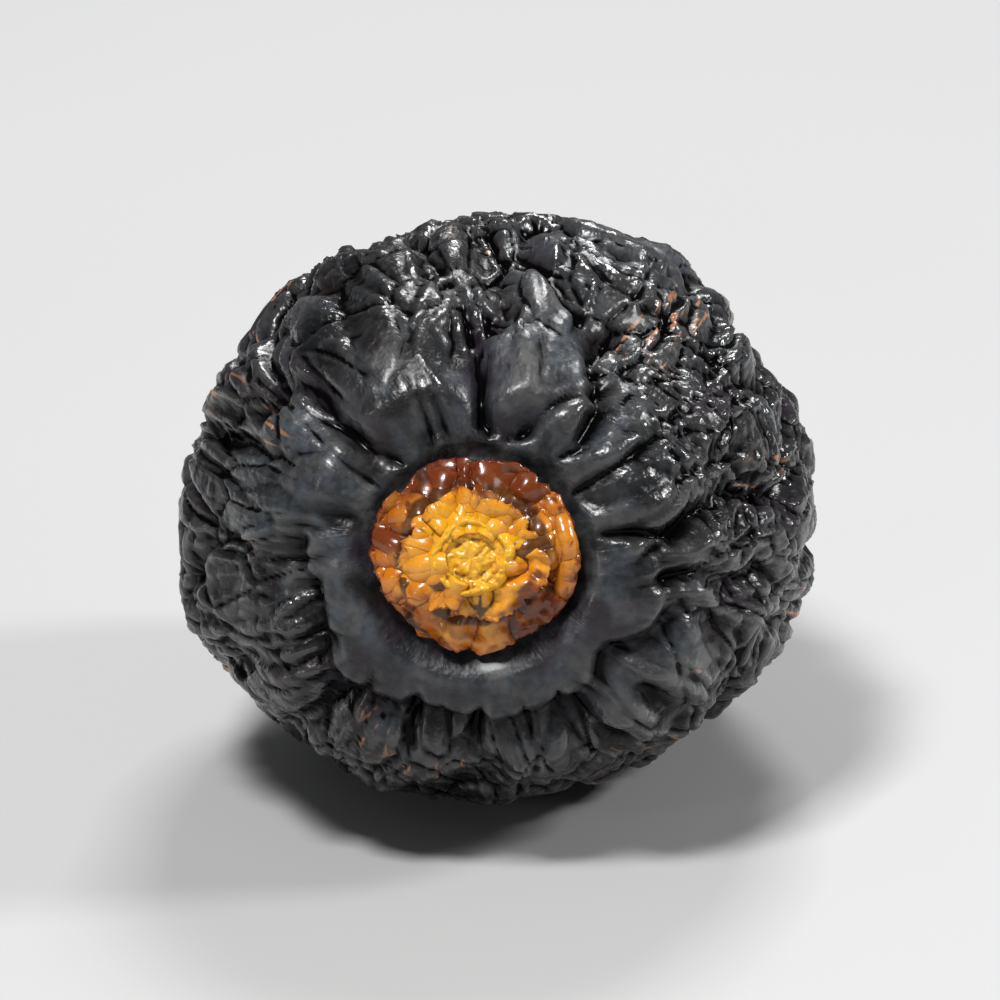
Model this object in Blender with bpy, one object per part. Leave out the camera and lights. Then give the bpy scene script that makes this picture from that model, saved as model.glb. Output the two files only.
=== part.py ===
"""An ajwa date lying on its side: the wrinkled black fruit and the golden calyx at one end.

Metres, +Z up. The fruit's axis runs along X, with the calyx end at +X and a little raised, because the date
rests on a small flat spot under its weight. The skin is one formula: each direction from the middle of the
fruit gives one point of the skin, and folds, plates and lobes are raised from a plain ovoid. The calyx is a
patch of that same skin, lifted off it along the fruit's axis, so it follows the pit that it sits in.
"""

import math

import bmesh
import bpy
from mathutils import Matrix, Vector, noise

MM = 0.001

# Fruit body
HALF_LENGTH = 15.0 * MM
HALF_WIDTH = 10.25 * MM
HALF_HEIGHT = 9.75 * MM
TAPER = 0.05  # how much wider the calyx end is than the apex end
FULLNESS = 0.84  # below 1, the ends are blunter than an ellipsoid's
END_PULL = 0.02  # how much narrower both ends are than an ellipsoid's
BELLY_SHIFT = 0.02  # how far the widest part lies towards the calyx, in half lengths
SHRINK = 0.50 * MM  # how far the skin's mean level lies under the plain ovoid
FRUIT_CELLS = 30  # cells along each of the 12 edges of the cube that the fruit is blown up from

# Dents where the flesh shrank as it dried
DENT_SIZE = 8.5 * MM
DENT_DEPTH = 0.8 * MM
HOLLOW_SIZE = 4.6 * MM
HOLLOW_DEPTH = 0.4 * MM

# Folds that run along the fruit
FOLD_SIZE = 4.0 * MM
FOLD_HEIGHT = 0.60 * MM
FOLD_EDGE = 0.20  # share of a fold's width that its steep side takes
FOLD_CROWN = 0.4  # how much the tops of the folds are rounded
FINE_FOLDS = 0.28  # share of the folds of half the size
FOLD_STRETCH = 0.52  # how much the pattern is squeezed along the fruit before it is laid out
WIDTH_AT_ENDS = 0.55  # share of its width that the pattern keeps at the ends
FOLD_SWAY = 2.4 * MM
SWAY_SIZE = 6.0 * MM

# Flat plates with narrow creases between them
PLATE_SIZE = 3.1 * MM
PLATE_TILT = 0.32 * MM
PLATE_SHARPNESS = 9.0
PLATE_BEND = 0.10  # how far the creases swing, as a share of a plate
PLATE_BEND_SIZE = 0.38  # length of their swings, as a share of a plate
LEAN_SPREAD = 7.3  # sets neighbouring plates far apart in the noise that leans them
CREASE_DEPTH = 0.24 * MM
CREASE_WIDTH = 0.12  # share of a plate

# Lobes and collar round the calyx
# Valley angles are seen from the calyx end, from the right-hand side round by the top.
LOBE_VALLEYS = [math.radians(angle) for angle in (12, 52, 90, 142, 184, 226, 266, 300, 322, 337, 352)]
LOBE_HEIGHT = 0.75 * MM
LOBE_EDGE = math.radians(7.5)
LOBE_SWAY = 0.22
LOBE_SWAY_SIZE = 3.0 * MM
LOBE_SMOOTHNESS = 0.6  # share of the folds and plates that the lobes take away
LOBES_START = 4.2 * MM
LOBES_FULL = 5.6 * MM
LOBES_FADE = 6.5 * MM
LOBES_END = 11.0 * MM
LOBES_BELOW = 1.5 * MM  # how much further out the lobes start below the calyx, where the collar is
COLLAR_RADIUS = 4.9 * MM
COLLAR_HEIGHT = 0.36 * MM
COLLAR_WIDTH = 0.80 * MM
COLLAR_ABOVE = 0.2  # share of the collar's height above the calyx
VALLEY_RADIUS = 6.2 * MM
VALLEY_DEPTH = 0.50 * MM
VALLEY_WIDTH = 0.48 * MM
TROUGH_RADIUS = 4.5 * MM
TROUGH_DEPTH = 0.30 * MM
TROUGH_WIDTH = 0.55 * MM
RING_WOBBLE = 0.5 * MM
RING_WAVES = 2.2  # the wobbles come closer together as this grows
VALLEY_WOBBLE = 2.4  # how much more the valley wobbles than the collar

# Where the pattern dies away at the ends, and the small tip at the apex
CALYX_CALM = 3.4 * MM
CALYX_FULL = 5.2 * MM
APEX_CALM = 0.8 * MM
APEX_FULL = 4.5 * MM
DENTS_AT_ENDS = 0.3  # share of the dents that stays at the ends
TIP_HEIGHT = 0.45 * MM
TIP_WIDTH = 0.8 * MM

# Pit and calyx
PIT_DEPTH = 0.72 * MM
PIT_FLOOR = 3.3 * MM
PIT_RIM = 4.5 * MM
CALYX_RADIUS = 3.60 * MM
CALYX_GAP = 0.34 * MM
CALYX_EDGE = 0.62 * MM  # thickness at the tips of the lobes
CALYX_MIDDLE = 1.15 * MM  # thickness at the foot of the scar
CALYX_LOBES = 6
CALYX_CORNER = 0.13 * MM  # how far the outline reaches out at the tip of each lobe
CALYX_UNEVEN = 0.12 * MM
CALYX_OVERLAP = 0.26 * MM  # every second lobe lies this much higher
CALYX_SPREAD = 0.8  # below 1, the ball's rings lie further out
CALYX_SIDE = 0.35  # share of the ball's half thickness that turns into the side of the calyx
SCAR_RADIUS = 1.45 * MM
SCAR_HEIGHT = 0.34 * MM
SCAR_DIMPLE = 0.26 * MM
CALYX_SEGMENTS = 60
CALYX_RINGS = 22

# How it rests
TILT = math.radians(11.0)
REST_DROP = 8.75 * MM  # from the middle of the fruit down to the flat spot
RELIEF_FADE = 1.6 * MM  # height above the flat spot at which the relief is full
SNAP = 0.06 * MM  # points of the skin this near to the flat spot's level are moved onto it
SMOOTHING = 0.45  # rounds the facets where a fold is narrower than they are
SHAPE_SEED = 2  # starts the draw of the shifts that bend the pattern of folds and plates

SKIN_COLOR = (0.016, 0.014, 0.016, 1.0)
CALYX_COLOR = (0.72, 0.33, 0.035, 1.0)


def remove_everything() -> None:
    """Empties the scene."""
    for item in list(bpy.data.objects):
        bpy.data.objects.remove(item)


def soft_step(low: float, high: float, value: float) -> float:
    """Rises smoothly from 0 at low to 1 at high, or falls where low is above high."""
    part = min(max((value - low) / (high - low), 0.0), 1.0)
    return part * part * (3.0 - 2.0 * part)


def bump(value: float, middle: float, width: float) -> float:
    """A rounded ridge of height 1 at middle."""
    return math.exp(-(((value - middle) / width) ** 2))


def ovoid(direction: Vector) -> Vector:
    """The point of the plain ovoid in a direction from its middle."""
    along = direction.x
    across = math.sqrt(max(1e-12, 1.0 - along * along))
    ring = across**FULLNESS * (1.0 + TAPER * along - END_PULL * along * along)
    return Vector(
        (
            HALF_LENGTH * (along + BELLY_SHIFT * (1.0 - along * along)),
            HALF_WIDTH * ring * direction.y / across,
            HALF_HEIGHT * ring * direction.z / across,
        )
    )


def outward(point: Vector) -> Vector:
    """The ovoid's outward normal at one of its points."""
    return Vector(
        (point.x / HALF_LENGTH**2, point.y / HALF_WIDTH**2, point.z / HALF_HEIGHT**2)
    ).normalized()


def pattern_place(point: Vector, direction: Vector) -> Vector:
    """Where a point of the skin lies in the pattern of folds and plates.

    The pattern is squeezed along the fruit, so that its folds run lengthways, and it keeps some of its width
    at the ends, so that the folds meet there.
    """
    across = math.sqrt(max(1e-12, direction.y**2 + direction.z**2))
    girth = math.hypot(point.y / HALF_WIDTH, point.z / HALF_HEIGHT)
    keep = HALF_WIDTH * (WIDTH_AT_ENDS + (1.0 - WIDTH_AT_ENDS) * girth) / across
    place = Vector((point.x * FOLD_STRETCH, direction.y * keep, direction.z * keep))
    return place + FOLD_SWAY * noise.noise_vector(place / SWAY_SIZE)


def dents(point: Vector) -> float:
    """Broad dents and hollows of the shrunken flesh."""
    broad = noise.noise(point / DENT_SIZE + Vector((2.0, 7.0, 4.0)))
    small = noise.noise(point / HOLLOW_SIZE)
    return DENT_DEPTH * broad + HOLLOW_DEPTH * small


def folds(place: Vector) -> float:
    """Flat-topped folds with steep valleys between them."""
    fine = noise.noise(2.0 * place / FOLD_SIZE + Vector((5.0, 1.0, 3.0)))
    wave = noise.noise(place / FOLD_SIZE) + FINE_FOLDS * fine
    return FOLD_HEIGHT * (1.0 - bump(wave, 0.0, FOLD_EDGE) + FOLD_CROWN * abs(wave))


def plates(place: Vector) -> float:
    """Plates that lean their own way each, with a crease along every joint."""
    spot = place / PLATE_SIZE
    spot += PLATE_BEND * noise.noise_vector(spot / PLATE_BEND_SIZE)
    gaps, middles = noise.voronoi(spot)
    height = 0.0
    total = 0.0
    for gap, middle in zip(gaps, middles):
        share = math.exp(-PLATE_SHARPNESS * (gap - gaps[0]))
        height += share * noise.noise_vector(middle * LEAN_SPREAD).dot(spot - middle)
        total += share
    crease = bump(gaps[1] - gaps[0], 0.0, CREASE_WIDTH)
    return PLATE_TILT * height / total - CREASE_DEPTH * crease


def lobes(point: Vector, around: float) -> float:
    """Lobes that run out from the calyx, with narrow valleys between them."""
    turn = around + LOBE_SWAY * noise.noise(point / LOBE_SWAY_SIZE)
    away = min(abs(math.remainder(turn - valley, math.tau)) for valley in LOBE_VALLEYS)
    return LOBE_HEIGHT * (1.0 - bump(away, 0.0, LOBE_EDGE))


def below_calyx(around: float) -> float:
    """1 below the calyx and 0 above it, with a smooth change at its sides."""
    return soft_step(0.45, -0.25, math.sin(around))


def collar(radius: float, around: float) -> float:
    """The ring round the calyx: raised below it with a valley outside, and a trough above it."""
    below = below_calyx(around)
    spot = RING_WAVES * Vector((math.cos(around), math.sin(around), 0.0)) + Vector((0.0, 0.0, 3.0))
    wobble = RING_WOBBLE * noise.noise(spot)
    share = COLLAR_ABOVE + (1.0 - COLLAR_ABOVE) * below
    ring = COLLAR_HEIGHT * bump(radius, COLLAR_RADIUS + wobble, COLLAR_WIDTH) * share
    valley = VALLEY_DEPTH * bump(radius, VALLEY_RADIUS + VALLEY_WOBBLE * wobble, VALLEY_WIDTH) * below
    trough = TROUGH_DEPTH * bump(radius, TROUGH_RADIUS + wobble, TROUGH_WIDTH) * (1.0 - below)
    return ring - valley - trough


def relief(point: Vector, direction: Vector) -> float:
    """How far the skin stands above its mean level."""
    radius = math.hypot(point.y, point.z)
    around = math.atan2(point.z, point.y)
    place = pattern_place(point, direction)
    pattern = folds(place) + plates(place)
    sunk = dents(point)
    if point.x < 0.0:
        calm = soft_step(APEX_CALM, APEX_FULL, radius)
        tip = TIP_HEIGHT * bump(radius, 0.0, TIP_WIDTH)
        return sunk * (DENTS_AT_ENDS + (1.0 - DENTS_AT_ENDS) * calm) + pattern * calm + tip
    inner = radius - LOBES_BELOW * below_calyx(around)
    calm = soft_step(CALYX_CALM, CALYX_FULL, inner)
    near = soft_step(LOBES_END, LOBES_FADE, radius) * soft_step(LOBES_START, LOBES_FULL, inner)
    pattern = pattern * (1.0 - LOBE_SMOOTHNESS * near) + lobes(point, around) * near
    return sunk * (DENTS_AT_ENDS + (1.0 - DENTS_AT_ENDS) * calm) + pattern * calm + collar(radius, around)


def at_rest(point: Vector) -> Vector:
    """Turns and lifts a point of the level fruit to where it rests, with the flat spot at height 0."""
    turned = Matrix.Rotation(-TILT, 3, "Y") @ point
    turned.z += REST_DROP
    return turned


def skin(direction: Vector) -> Vector:
    """The point of the finished skin in a direction from the fruit's middle, at rest."""
    point = ovoid(direction)
    radius = math.hypot(point.y, point.z)
    fade = soft_step(0.0, RELIEF_FADE, at_rest(point).z)
    raised = point + outward(point) * (relief(point, direction) * fade - SHRINK)
    if point.x > 0.0:
        raised.x -= PIT_DEPTH * (1.0 - soft_step(PIT_FLOOR, PIT_RIM, radius))
    return at_rest(raised)


def add_object(name: str, form: bmesh.types.BMesh, color: tuple, roughness: float) -> bpy.types.Object:
    """Makes a named object with its own material from a finished form."""
    bmesh.ops.recalc_face_normals(form, faces=form.faces)
    mesh = bpy.data.meshes.new(name)
    form.to_mesh(mesh)
    form.free()
    mesh.shade_smooth()
    material = bpy.data.materials.new(name)
    material.use_nodes = True
    shader = material.node_tree.nodes["Principled BSDF"]
    shader.inputs["Base Color"].default_value = color
    shader.inputs["Roughness"].default_value = roughness
    mesh.materials.append(material)
    item = bpy.data.objects.new(name, mesh)
    return item


def make_fruit() -> bpy.types.Object:
    """The fruit: a cube blown up to the skin, then cut flat where it rests."""
    form = bmesh.new()
    bmesh.ops.create_cube(form, size=2.0)
    bmesh.ops.subdivide_edges(form, edges=form.edges, cuts=FRUIT_CELLS - 1, use_grid_fill=True)
    for vertex in form.verts:
        even = Vector([math.tan(value * math.pi / 4.0) for value in vertex.co])
        vertex.co = skin(even.normalized())
    bmesh.ops.smooth_vert(
        form, verts=form.verts, factor=SMOOTHING, use_axis_x=True, use_axis_y=True, use_axis_z=True
    )
    for vertex in form.verts:
        if abs(vertex.co.z) < SNAP:
            vertex.co.z = 0.0
    everything = form.verts[:] + form.edges[:] + form.faces[:]
    bmesh.ops.bisect_plane(
        form, geom=everything, dist=1e-7, plane_co=(0, 0, 0), plane_no=(0, 0, 1), clear_inner=True
    )
    rim = [edge for edge in form.edges if edge.is_boundary]
    bmesh.ops.contextual_create(form, geom=rim)
    return add_object("fruit", form, SKIN_COLOR, 0.38)


def calyx_outline(around: float) -> float:
    """Radius of the calyx: a rounded hexagon with one corner for each lobe, a little uneven."""
    corners = CALYX_CORNER * math.cos(CALYX_LOBES * around)
    return CALYX_RADIUS + corners + CALYX_UNEVEN * math.sin(2.0 * around + 0.8)


def calyx_height(radius: float, around: float) -> float:
    """Thickness of the calyx, from its underside to its outer face."""
    part = radius / CALYX_RADIUS
    body = CALYX_EDGE + (CALYX_MIDDLE - CALYX_EDGE) * (1.0 - part * part)
    upper = soft_step(-0.25, 0.25, math.cos(0.5 * CALYX_LOBES * around))
    out = soft_step(SCAR_RADIUS, 0.65 * CALYX_RADIUS, radius)
    scar = SCAR_HEIGHT * soft_step(1.25 * SCAR_RADIUS, 0.85 * SCAR_RADIUS, radius)
    dimple = SCAR_DIMPLE * bump(radius, 0.0, 0.45 * SCAR_RADIUS)
    return body + out * CALYX_OVERLAP * upper + scar - dimple


def make_calyx() -> bpy.types.Object:
    """The calyx: a ball flattened to a lobed cap that follows the pit under it."""
    form = bmesh.new()
    turn = Matrix.Rotation(math.pi / 2.0, 4, "Y")
    bmesh.ops.create_uvsphere(form, u_segments=CALYX_SEGMENTS, v_segments=CALYX_RINGS, radius=1.0, matrix=turn)
    lift = Matrix.Rotation(-TILT, 3, "Y") @ Vector((1.0, 0.0, 0.0))
    for vertex in form.verts:
        spot = vertex.co.copy()
        across = math.hypot(spot.y, spot.z)
        around = math.atan2(spot.z, spot.y)
        radius = calyx_outline(around) * min(across, 1.0) ** CALYX_SPREAD
        sine = (radius / (HALF_WIDTH * (1.0 + TAPER))) ** (1.0 / FULLNESS)
        direction = Vector((math.sqrt(1.0 - sine * sine), sine * math.cos(around), sine * math.sin(around)))
        side = 0.5 + 0.5 * max(-1.0, min(1.0, spot.x / CALYX_SIDE))
        vertex.co = skin(direction) + lift * (CALYX_GAP + side * calyx_height(radius, around))
    return add_object("calyx", form, CALYX_COLOR, 0.30)


def stand_on_origin(items: list) -> None:
    """Slides the objects alike, so that the origin is under the middle of their common box."""
    points = [vertex.co for item in items for vertex in item.data.vertices]
    middle_x = (min(point.x for point in points) + max(point.x for point in points)) / 2.0
    middle_y = (min(point.y for point in points) + max(point.y for point in points)) / 2.0
    for item in items:
        item.data.transform(Matrix.Translation((-middle_x, -middle_y, 0.0)))


def main() -> None:
    """Builds the date."""
    remove_everything()
    noise.seed_set(SHAPE_SEED)
    parts = bpy.data.collections.new("ajwa_date")
    bpy.context.scene.collection.children.link(parts)
    items = [make_fruit(), make_calyx()]
    stand_on_origin(items)
    for item in items:
        parts.objects.link(item)


main()
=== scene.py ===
"""The finished look of an ajwa date that lies on its side with its golden calyx towards the camera.

The fruit's skin is laid out by the same formula as the solid that it stands for, in much finer cells. It is
then settled as a dried skin: skin that has become too large for the flesh under it buckles into small
wrinkles. The calyx is made of its petals, the low cup of its sepals and the round scar where the stalk came
off. Every length is in metres, and named sizes are given in millimetres times MM.
"""

import logging
import math
from collections.abc import Callable
from dataclasses import dataclass, field
from enum import Enum

import bmesh
import bpy
import numpy as np
from mathutils import Matrix, Vector, noise


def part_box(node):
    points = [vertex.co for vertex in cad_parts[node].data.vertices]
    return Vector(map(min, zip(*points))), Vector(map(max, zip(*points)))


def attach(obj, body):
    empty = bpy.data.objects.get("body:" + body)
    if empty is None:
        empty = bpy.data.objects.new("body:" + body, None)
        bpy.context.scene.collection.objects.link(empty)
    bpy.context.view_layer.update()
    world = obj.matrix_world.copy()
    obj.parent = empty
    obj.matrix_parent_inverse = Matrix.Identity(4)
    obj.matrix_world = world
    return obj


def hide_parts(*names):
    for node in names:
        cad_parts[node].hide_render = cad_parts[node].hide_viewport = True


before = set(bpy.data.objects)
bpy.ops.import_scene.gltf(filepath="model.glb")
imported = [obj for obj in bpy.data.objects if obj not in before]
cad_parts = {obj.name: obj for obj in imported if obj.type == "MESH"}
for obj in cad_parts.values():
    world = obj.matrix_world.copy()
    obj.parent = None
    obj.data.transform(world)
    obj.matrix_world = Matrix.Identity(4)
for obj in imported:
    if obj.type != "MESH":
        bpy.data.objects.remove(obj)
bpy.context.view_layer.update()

MM = 0.001
SHAPE_SEED = 2
LOG = logging.getLogger("ajwa_date")

Color = tuple[float, float, float, float]
Piece = bpy.types.Object
Socket = bpy.types.NodeSocket


def soft_step(low: float, high: float, value: float) -> float:
    """Rises smoothly from 0 at low to 1 at high, or falls where low is above high.

    Args:
        low: Where the step starts.
        high: Where the step ends.
        value: The place to read it at.

    Returns:
        A share from 0 to 1.
    """
    part = min(max((value - low) / (high - low), 0.0), 1.0)
    return part * part * (3.0 - 2.0 * part)


def bump(value: float, middle: float, width: float) -> float:
    """A rounded ridge of height 1 at middle.

    Args:
        value: The place to read it at.
        middle: Where the ridge is highest.
        width: How far from the middle it has fallen to about a third.

    Returns:
        The ridge's height there, from 0 to 1.
    """
    return math.exp(-(((value - middle) / width) ** 2))


@dataclass(frozen=True)
class Body:
    """The plain ovoid under the skin, and how it rests."""

    half_length: float = 15.0 * MM
    half_width: float = 10.25 * MM
    half_height: float = 9.75 * MM
    taper: float = 0.05
    fullness: float = 0.84
    end_pull: float = 0.02
    belly_shift: float = 0.02
    tilt: float = math.radians(11.0)
    rest_drop: float = 8.75 * MM

    @property
    def turn(self) -> Matrix:
        """The rotation that raises the calyx end."""
        return Matrix.Rotation(-self.tilt, 3, "Y")

    @property
    def axis(self) -> Vector:
        """The fruit's axis at rest, towards the calyx."""
        return self.turn @ Vector((1.0, 0.0, 0.0))

    def ovoid(self, direction: Vector) -> Vector:
        """The ovoid's point in a direction from its middle, in the level fruit's own frame.

        Args:
            direction: A unit vector, with the calyx at +X.

        Returns:
            The point.
        """
        along = direction.x
        across = math.sqrt(max(1e-12, 1.0 - along * along))
        ring = across**self.fullness * (1.0 + self.taper * along - self.end_pull * along * along)
        return Vector(
            (
                self.half_length * (along + self.belly_shift * (1.0 - along * along)),
                self.half_width * ring * direction.y / across,
                self.half_height * ring * direction.z / across,
            )
        )

    def outward(self, point: Vector) -> Vector:
        """The ovoid's outward normal at one of its points."""
        return Vector(
            (
                point.x / self.half_length**2,
                point.y / self.half_width**2,
                point.z / self.half_height**2,
            )
        ).normalized()

    def at_rest(self, point: Vector) -> Vector:
        """Turns and lifts a point of the level fruit to where it rests."""
        turned = self.turn @ point
        turned.z += self.rest_drop
        return turned

    def towards(self, radius: float, around: float) -> Vector:
        """The direction in which the ovoid's calyx end has a given distance from the axis.

        Args:
            radius: Distance from the fruit's axis.
            around: Angle round the axis, from the right-hand side by the top, seen from the calyx end.

        Returns:
            A unit vector.
        """
        sine = min(0.9, radius / (self.half_width * (1.0 + self.taper))) ** (1.0 / self.fullness)
        return Vector((math.sqrt(1.0 - sine * sine), sine * math.cos(around), sine * math.sin(around)))


@dataclass(frozen=True)
class SkinRelief:
    """Folds, plates, lobes and the calyx pit, raised from the ovoid by a formula.

    The lobes' valleys are angles in degrees, seen from the calyx end, from its right-hand side by the top.
    Edges and widths without a unit are shares of the fold or plate that they belong to.
    """

    body: Body = Body()
    shrink: float = 0.50 * MM
    relief_fade: float = 1.6 * MM
    dent_size: float = 8.5 * MM
    dent_depth: float = 0.8 * MM
    hollow_size: float = 4.6 * MM
    hollow_depth: float = 0.4 * MM
    fold_size: float = 4.0 * MM
    fold_height: float = 0.60 * MM
    fold_edge: float = 0.15
    fold_crown: float = 0.4
    fine_folds: float = 0.28
    fold_stretch: float = 0.52
    width_at_ends: float = 0.55
    fold_sway: float = 2.4 * MM
    sway_size: float = 6.0 * MM
    plate_size: float = 3.1 * MM
    plate_tilt: float = 0.32 * MM
    plate_sharpness: float = 9.0
    plate_bend: float = 0.10
    plate_bend_size: float = 0.38
    lean_spread: float = 7.3
    crease_depth: float = 0.24 * MM
    crease_width: float = 0.09
    lobe_valleys: tuple[int, ...] = (12, 52, 90, 142, 184, 226, 266, 300, 322, 337, 352)
    lobe_height: float = 0.75 * MM
    lobe_edge: float = math.radians(6.0)
    lobe_sway: float = 0.22
    lobe_sway_size: float = 3.0 * MM
    lobe_smoothness: float = 0.6
    lobes_start: float = 4.2 * MM
    lobes_full: float = 5.6 * MM
    lobes_fade: float = 6.5 * MM
    lobes_end: float = 11.0 * MM
    lobes_below: float = 1.5 * MM
    collar_radius: float = 4.9 * MM
    collar_height: float = 0.36 * MM
    collar_width: float = 0.80 * MM
    collar_above: float = 0.2
    valley_radius: float = 6.2 * MM
    valley_depth: float = 0.50 * MM
    valley_width: float = 0.40 * MM
    trough_radius: float = 4.5 * MM
    trough_depth: float = 0.30 * MM
    trough_width: float = 0.55 * MM
    ring_wobble: float = 0.5 * MM
    ring_waves: float = 2.2
    valley_wobble: float = 2.4
    calyx_calm: float = 3.4 * MM
    calyx_full: float = 5.2 * MM
    apex_calm: float = 0.8 * MM
    apex_full: float = 4.5 * MM
    dents_at_ends: float = 0.3
    tip_height: float = 0.45 * MM
    tip_width: float = 0.8 * MM
    pit_depth: float = 0.72 * MM
    pit_floor: float = 3.3 * MM
    pit_rim: float = 4.5 * MM

    def pattern_place(self, point: Vector, direction: Vector) -> Vector:
        """Where a point of the skin lies in the pattern of folds and plates.

        The pattern is squeezed along the fruit, so that its folds run lengthways and meet at the ends.

        Args:
            point: The ovoid's point.
            direction: The direction that it was made from.

        Returns:
            The place in the pattern, in metres.
        """
        across = math.sqrt(max(1e-12, direction.y**2 + direction.z**2))
        girth = math.hypot(point.y / self.body.half_width, point.z / self.body.half_height)
        share = self.width_at_ends + (1.0 - self.width_at_ends) * girth
        keep = self.body.half_width * share / across
        place = Vector((point.x * self.fold_stretch, direction.y * keep, direction.z * keep))
        return place + self.fold_sway * noise.noise_vector(place / self.sway_size)

    def dents(self, point: Vector) -> float:
        """Broad dents and hollows of the shrunken flesh."""
        broad = noise.noise(point / self.dent_size + Vector((2.0, 7.0, 4.0)))
        small = noise.noise(point / self.hollow_size)
        return self.dent_depth * broad + self.hollow_depth * small

    def folds(self, place: Vector) -> float:
        """Flat-topped folds with steep valleys between them."""
        finer = self.fine_folds * noise.noise(2.0 * place / self.fold_size + Vector((5.0, 1.0, 3.0)))
        wave = noise.noise(place / self.fold_size) + finer
        return self.fold_height * (1.0 - bump(wave, 0.0, self.fold_edge) + self.fold_crown * abs(wave))

    def plates(self, place: Vector) -> float:
        """Plates that lean their own way each, with a crease along every joint."""
        spot = place / self.plate_size
        spot += self.plate_bend * noise.noise_vector(spot / self.plate_bend_size)
        gaps, middles = noise.voronoi(spot)
        height = 0.0
        total = 0.0
        for gap, middle in zip(gaps, middles):
            share = math.exp(-self.plate_sharpness * (gap - gaps[0]))
            height += share * noise.noise_vector(middle * self.lean_spread).dot(spot - middle)
            total += share
        crease = bump(gaps[1] - gaps[0], 0.0, self.crease_width)
        return self.plate_tilt * height / total - self.crease_depth * crease

    def lobes(self, point: Vector, around: float) -> float:
        """Lobes that run out from the calyx, with narrow valleys between them."""
        turn = around + self.lobe_sway * noise.noise(point / self.lobe_sway_size)
        away = min(abs(math.remainder(turn - math.radians(valley), math.tau)) for valley in self.lobe_valleys)
        return self.lobe_height * (1.0 - bump(away, 0.0, self.lobe_edge))

    def below_calyx(self, around: float) -> float:
        """1 below the calyx and 0 above it, with a smooth change at its sides."""
        return soft_step(0.45, -0.25, math.sin(around))

    def collar(self, radius: float, around: float) -> float:
        """The ring round the calyx: raised below it with a valley outside, and a trough above it."""
        below = self.below_calyx(around)
        spot = self.ring_waves * Vector((math.cos(around), math.sin(around), 0.0)) + Vector((0.0, 0.0, 3.0))
        wobble = self.ring_wobble * noise.noise(spot)
        ring = self.collar_height * bump(radius, self.collar_radius + wobble, self.collar_width)
        outer = self.valley_radius + self.valley_wobble * wobble
        valley = self.valley_depth * bump(radius, outer, self.valley_width)
        trough = self.trough_depth * bump(radius, self.trough_radius + wobble, self.trough_width)
        ring *= self.collar_above + (1.0 - self.collar_above) * below
        return ring - valley * below - trough * (1.0 - below)

    def height(self, point: Vector, direction: Vector) -> float:
        """How far the skin stands above its mean level.

        Args:
            point: The ovoid's point.
            direction: The direction that it was made from.

        Returns:
            The height along the ovoid's normal.
        """
        radius = math.hypot(point.y, point.z)
        around = math.atan2(point.z, point.y)
        place = self.pattern_place(point, direction)
        pattern = self.folds(place) + self.plates(place)
        sunk = self.dents(point)
        if point.x < 0.0:
            calm = soft_step(self.apex_calm, self.apex_full, radius)
            tip = self.tip_height * bump(radius, 0.0, self.tip_width)
            return sunk * (self.dents_at_ends + (1.0 - self.dents_at_ends) * calm) + pattern * calm + tip
        inner = radius - self.lobes_below * self.below_calyx(around)
        calm = soft_step(self.calyx_calm, self.calyx_full, inner)
        near = soft_step(self.lobes_end, self.lobes_fade, radius)
        near *= soft_step(self.lobes_start, self.lobes_full, inner)
        pattern = pattern * (1.0 - self.lobe_smoothness * near) + self.lobes(point, around) * near
        sunk *= self.dents_at_ends + (1.0 - self.dents_at_ends) * calm
        return sunk + pattern * calm + self.collar(radius, around)

    def surface(self, direction: Vector) -> Vector:
        """The skin's point in a direction from the fruit's middle, at rest.

        Args:
            direction: A unit vector, with the calyx at +X.

        Returns:
            The point, before it is slid over the frame's origin.
        """
        point = self.body.ovoid(direction)
        radius = math.hypot(point.y, point.z)
        fade = soft_step(0.0, self.relief_fade, self.body.at_rest(point).z)
        raised = point + self.body.outward(point) * (self.height(point, direction) * fade - self.shrink)
        if point.x > 0.0:
            raised.x -= self.pit_depth * (1.0 - soft_step(self.pit_floor, self.pit_rim, radius))
        return self.body.at_rest(raised)


@dataclass
class SkinNet:
    """The skin as a net of points, each tied to its neighbours, that can be bent and stretched.

    Attributes:
        points: Where each point lies, in metres.
        quads: The four points of each cell.
    """

    points: np.ndarray
    quads: np.ndarray

    def links(self) -> tuple[np.ndarray, np.ndarray]:
        """Finds each point's neighbours.

        Returns:
            A table of four neighbours along the cells' sides and one of four across them. The few points
            with three neighbours are padded with themselves.
        """
        first, second, third, fourth = self.quads.T
        sides = [(first, second), (second, third), (third, fourth), (fourth, first)]
        return self._table(sides), self._table([(first, third), (second, fourth)])

    def _table(self, pairs: list[tuple[np.ndarray, np.ndarray]]) -> np.ndarray:
        """Lists up to four partners for each point from pairs of point numbers."""
        count = len(self.points)
        joined = np.concatenate([np.stack(pair, axis=1) for pair in pairs])
        joined = np.unique(np.sort(joined, axis=1), axis=0)
        both = np.concatenate([joined, joined[:, ::-1]])
        both = both[np.argsort(both[:, 0], kind="stable")]
        rank = np.arange(len(both)) - np.searchsorted(both[:, 0], both[:, 0])
        table = np.repeat(np.arange(count)[:, None], 4, axis=1)
        table[both[:, 0], rank] = both[:, 1]
        return table

    def normals(self) -> np.ndarray:
        """The outward normal at each point."""
        corners = [self.points[self.quads[:, corner]] for corner in range(4)]
        face = np.cross(corners[2] - corners[0], corners[3] - corners[1])
        total = np.zeros_like(self.points)
        for corner in range(4):
            for axis in range(3):
                total[:, axis] += np.bincount(self.quads[:, corner], face[:, axis], len(self.points))
        return total / np.linalg.norm(total, axis=1)[:, None]


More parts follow.
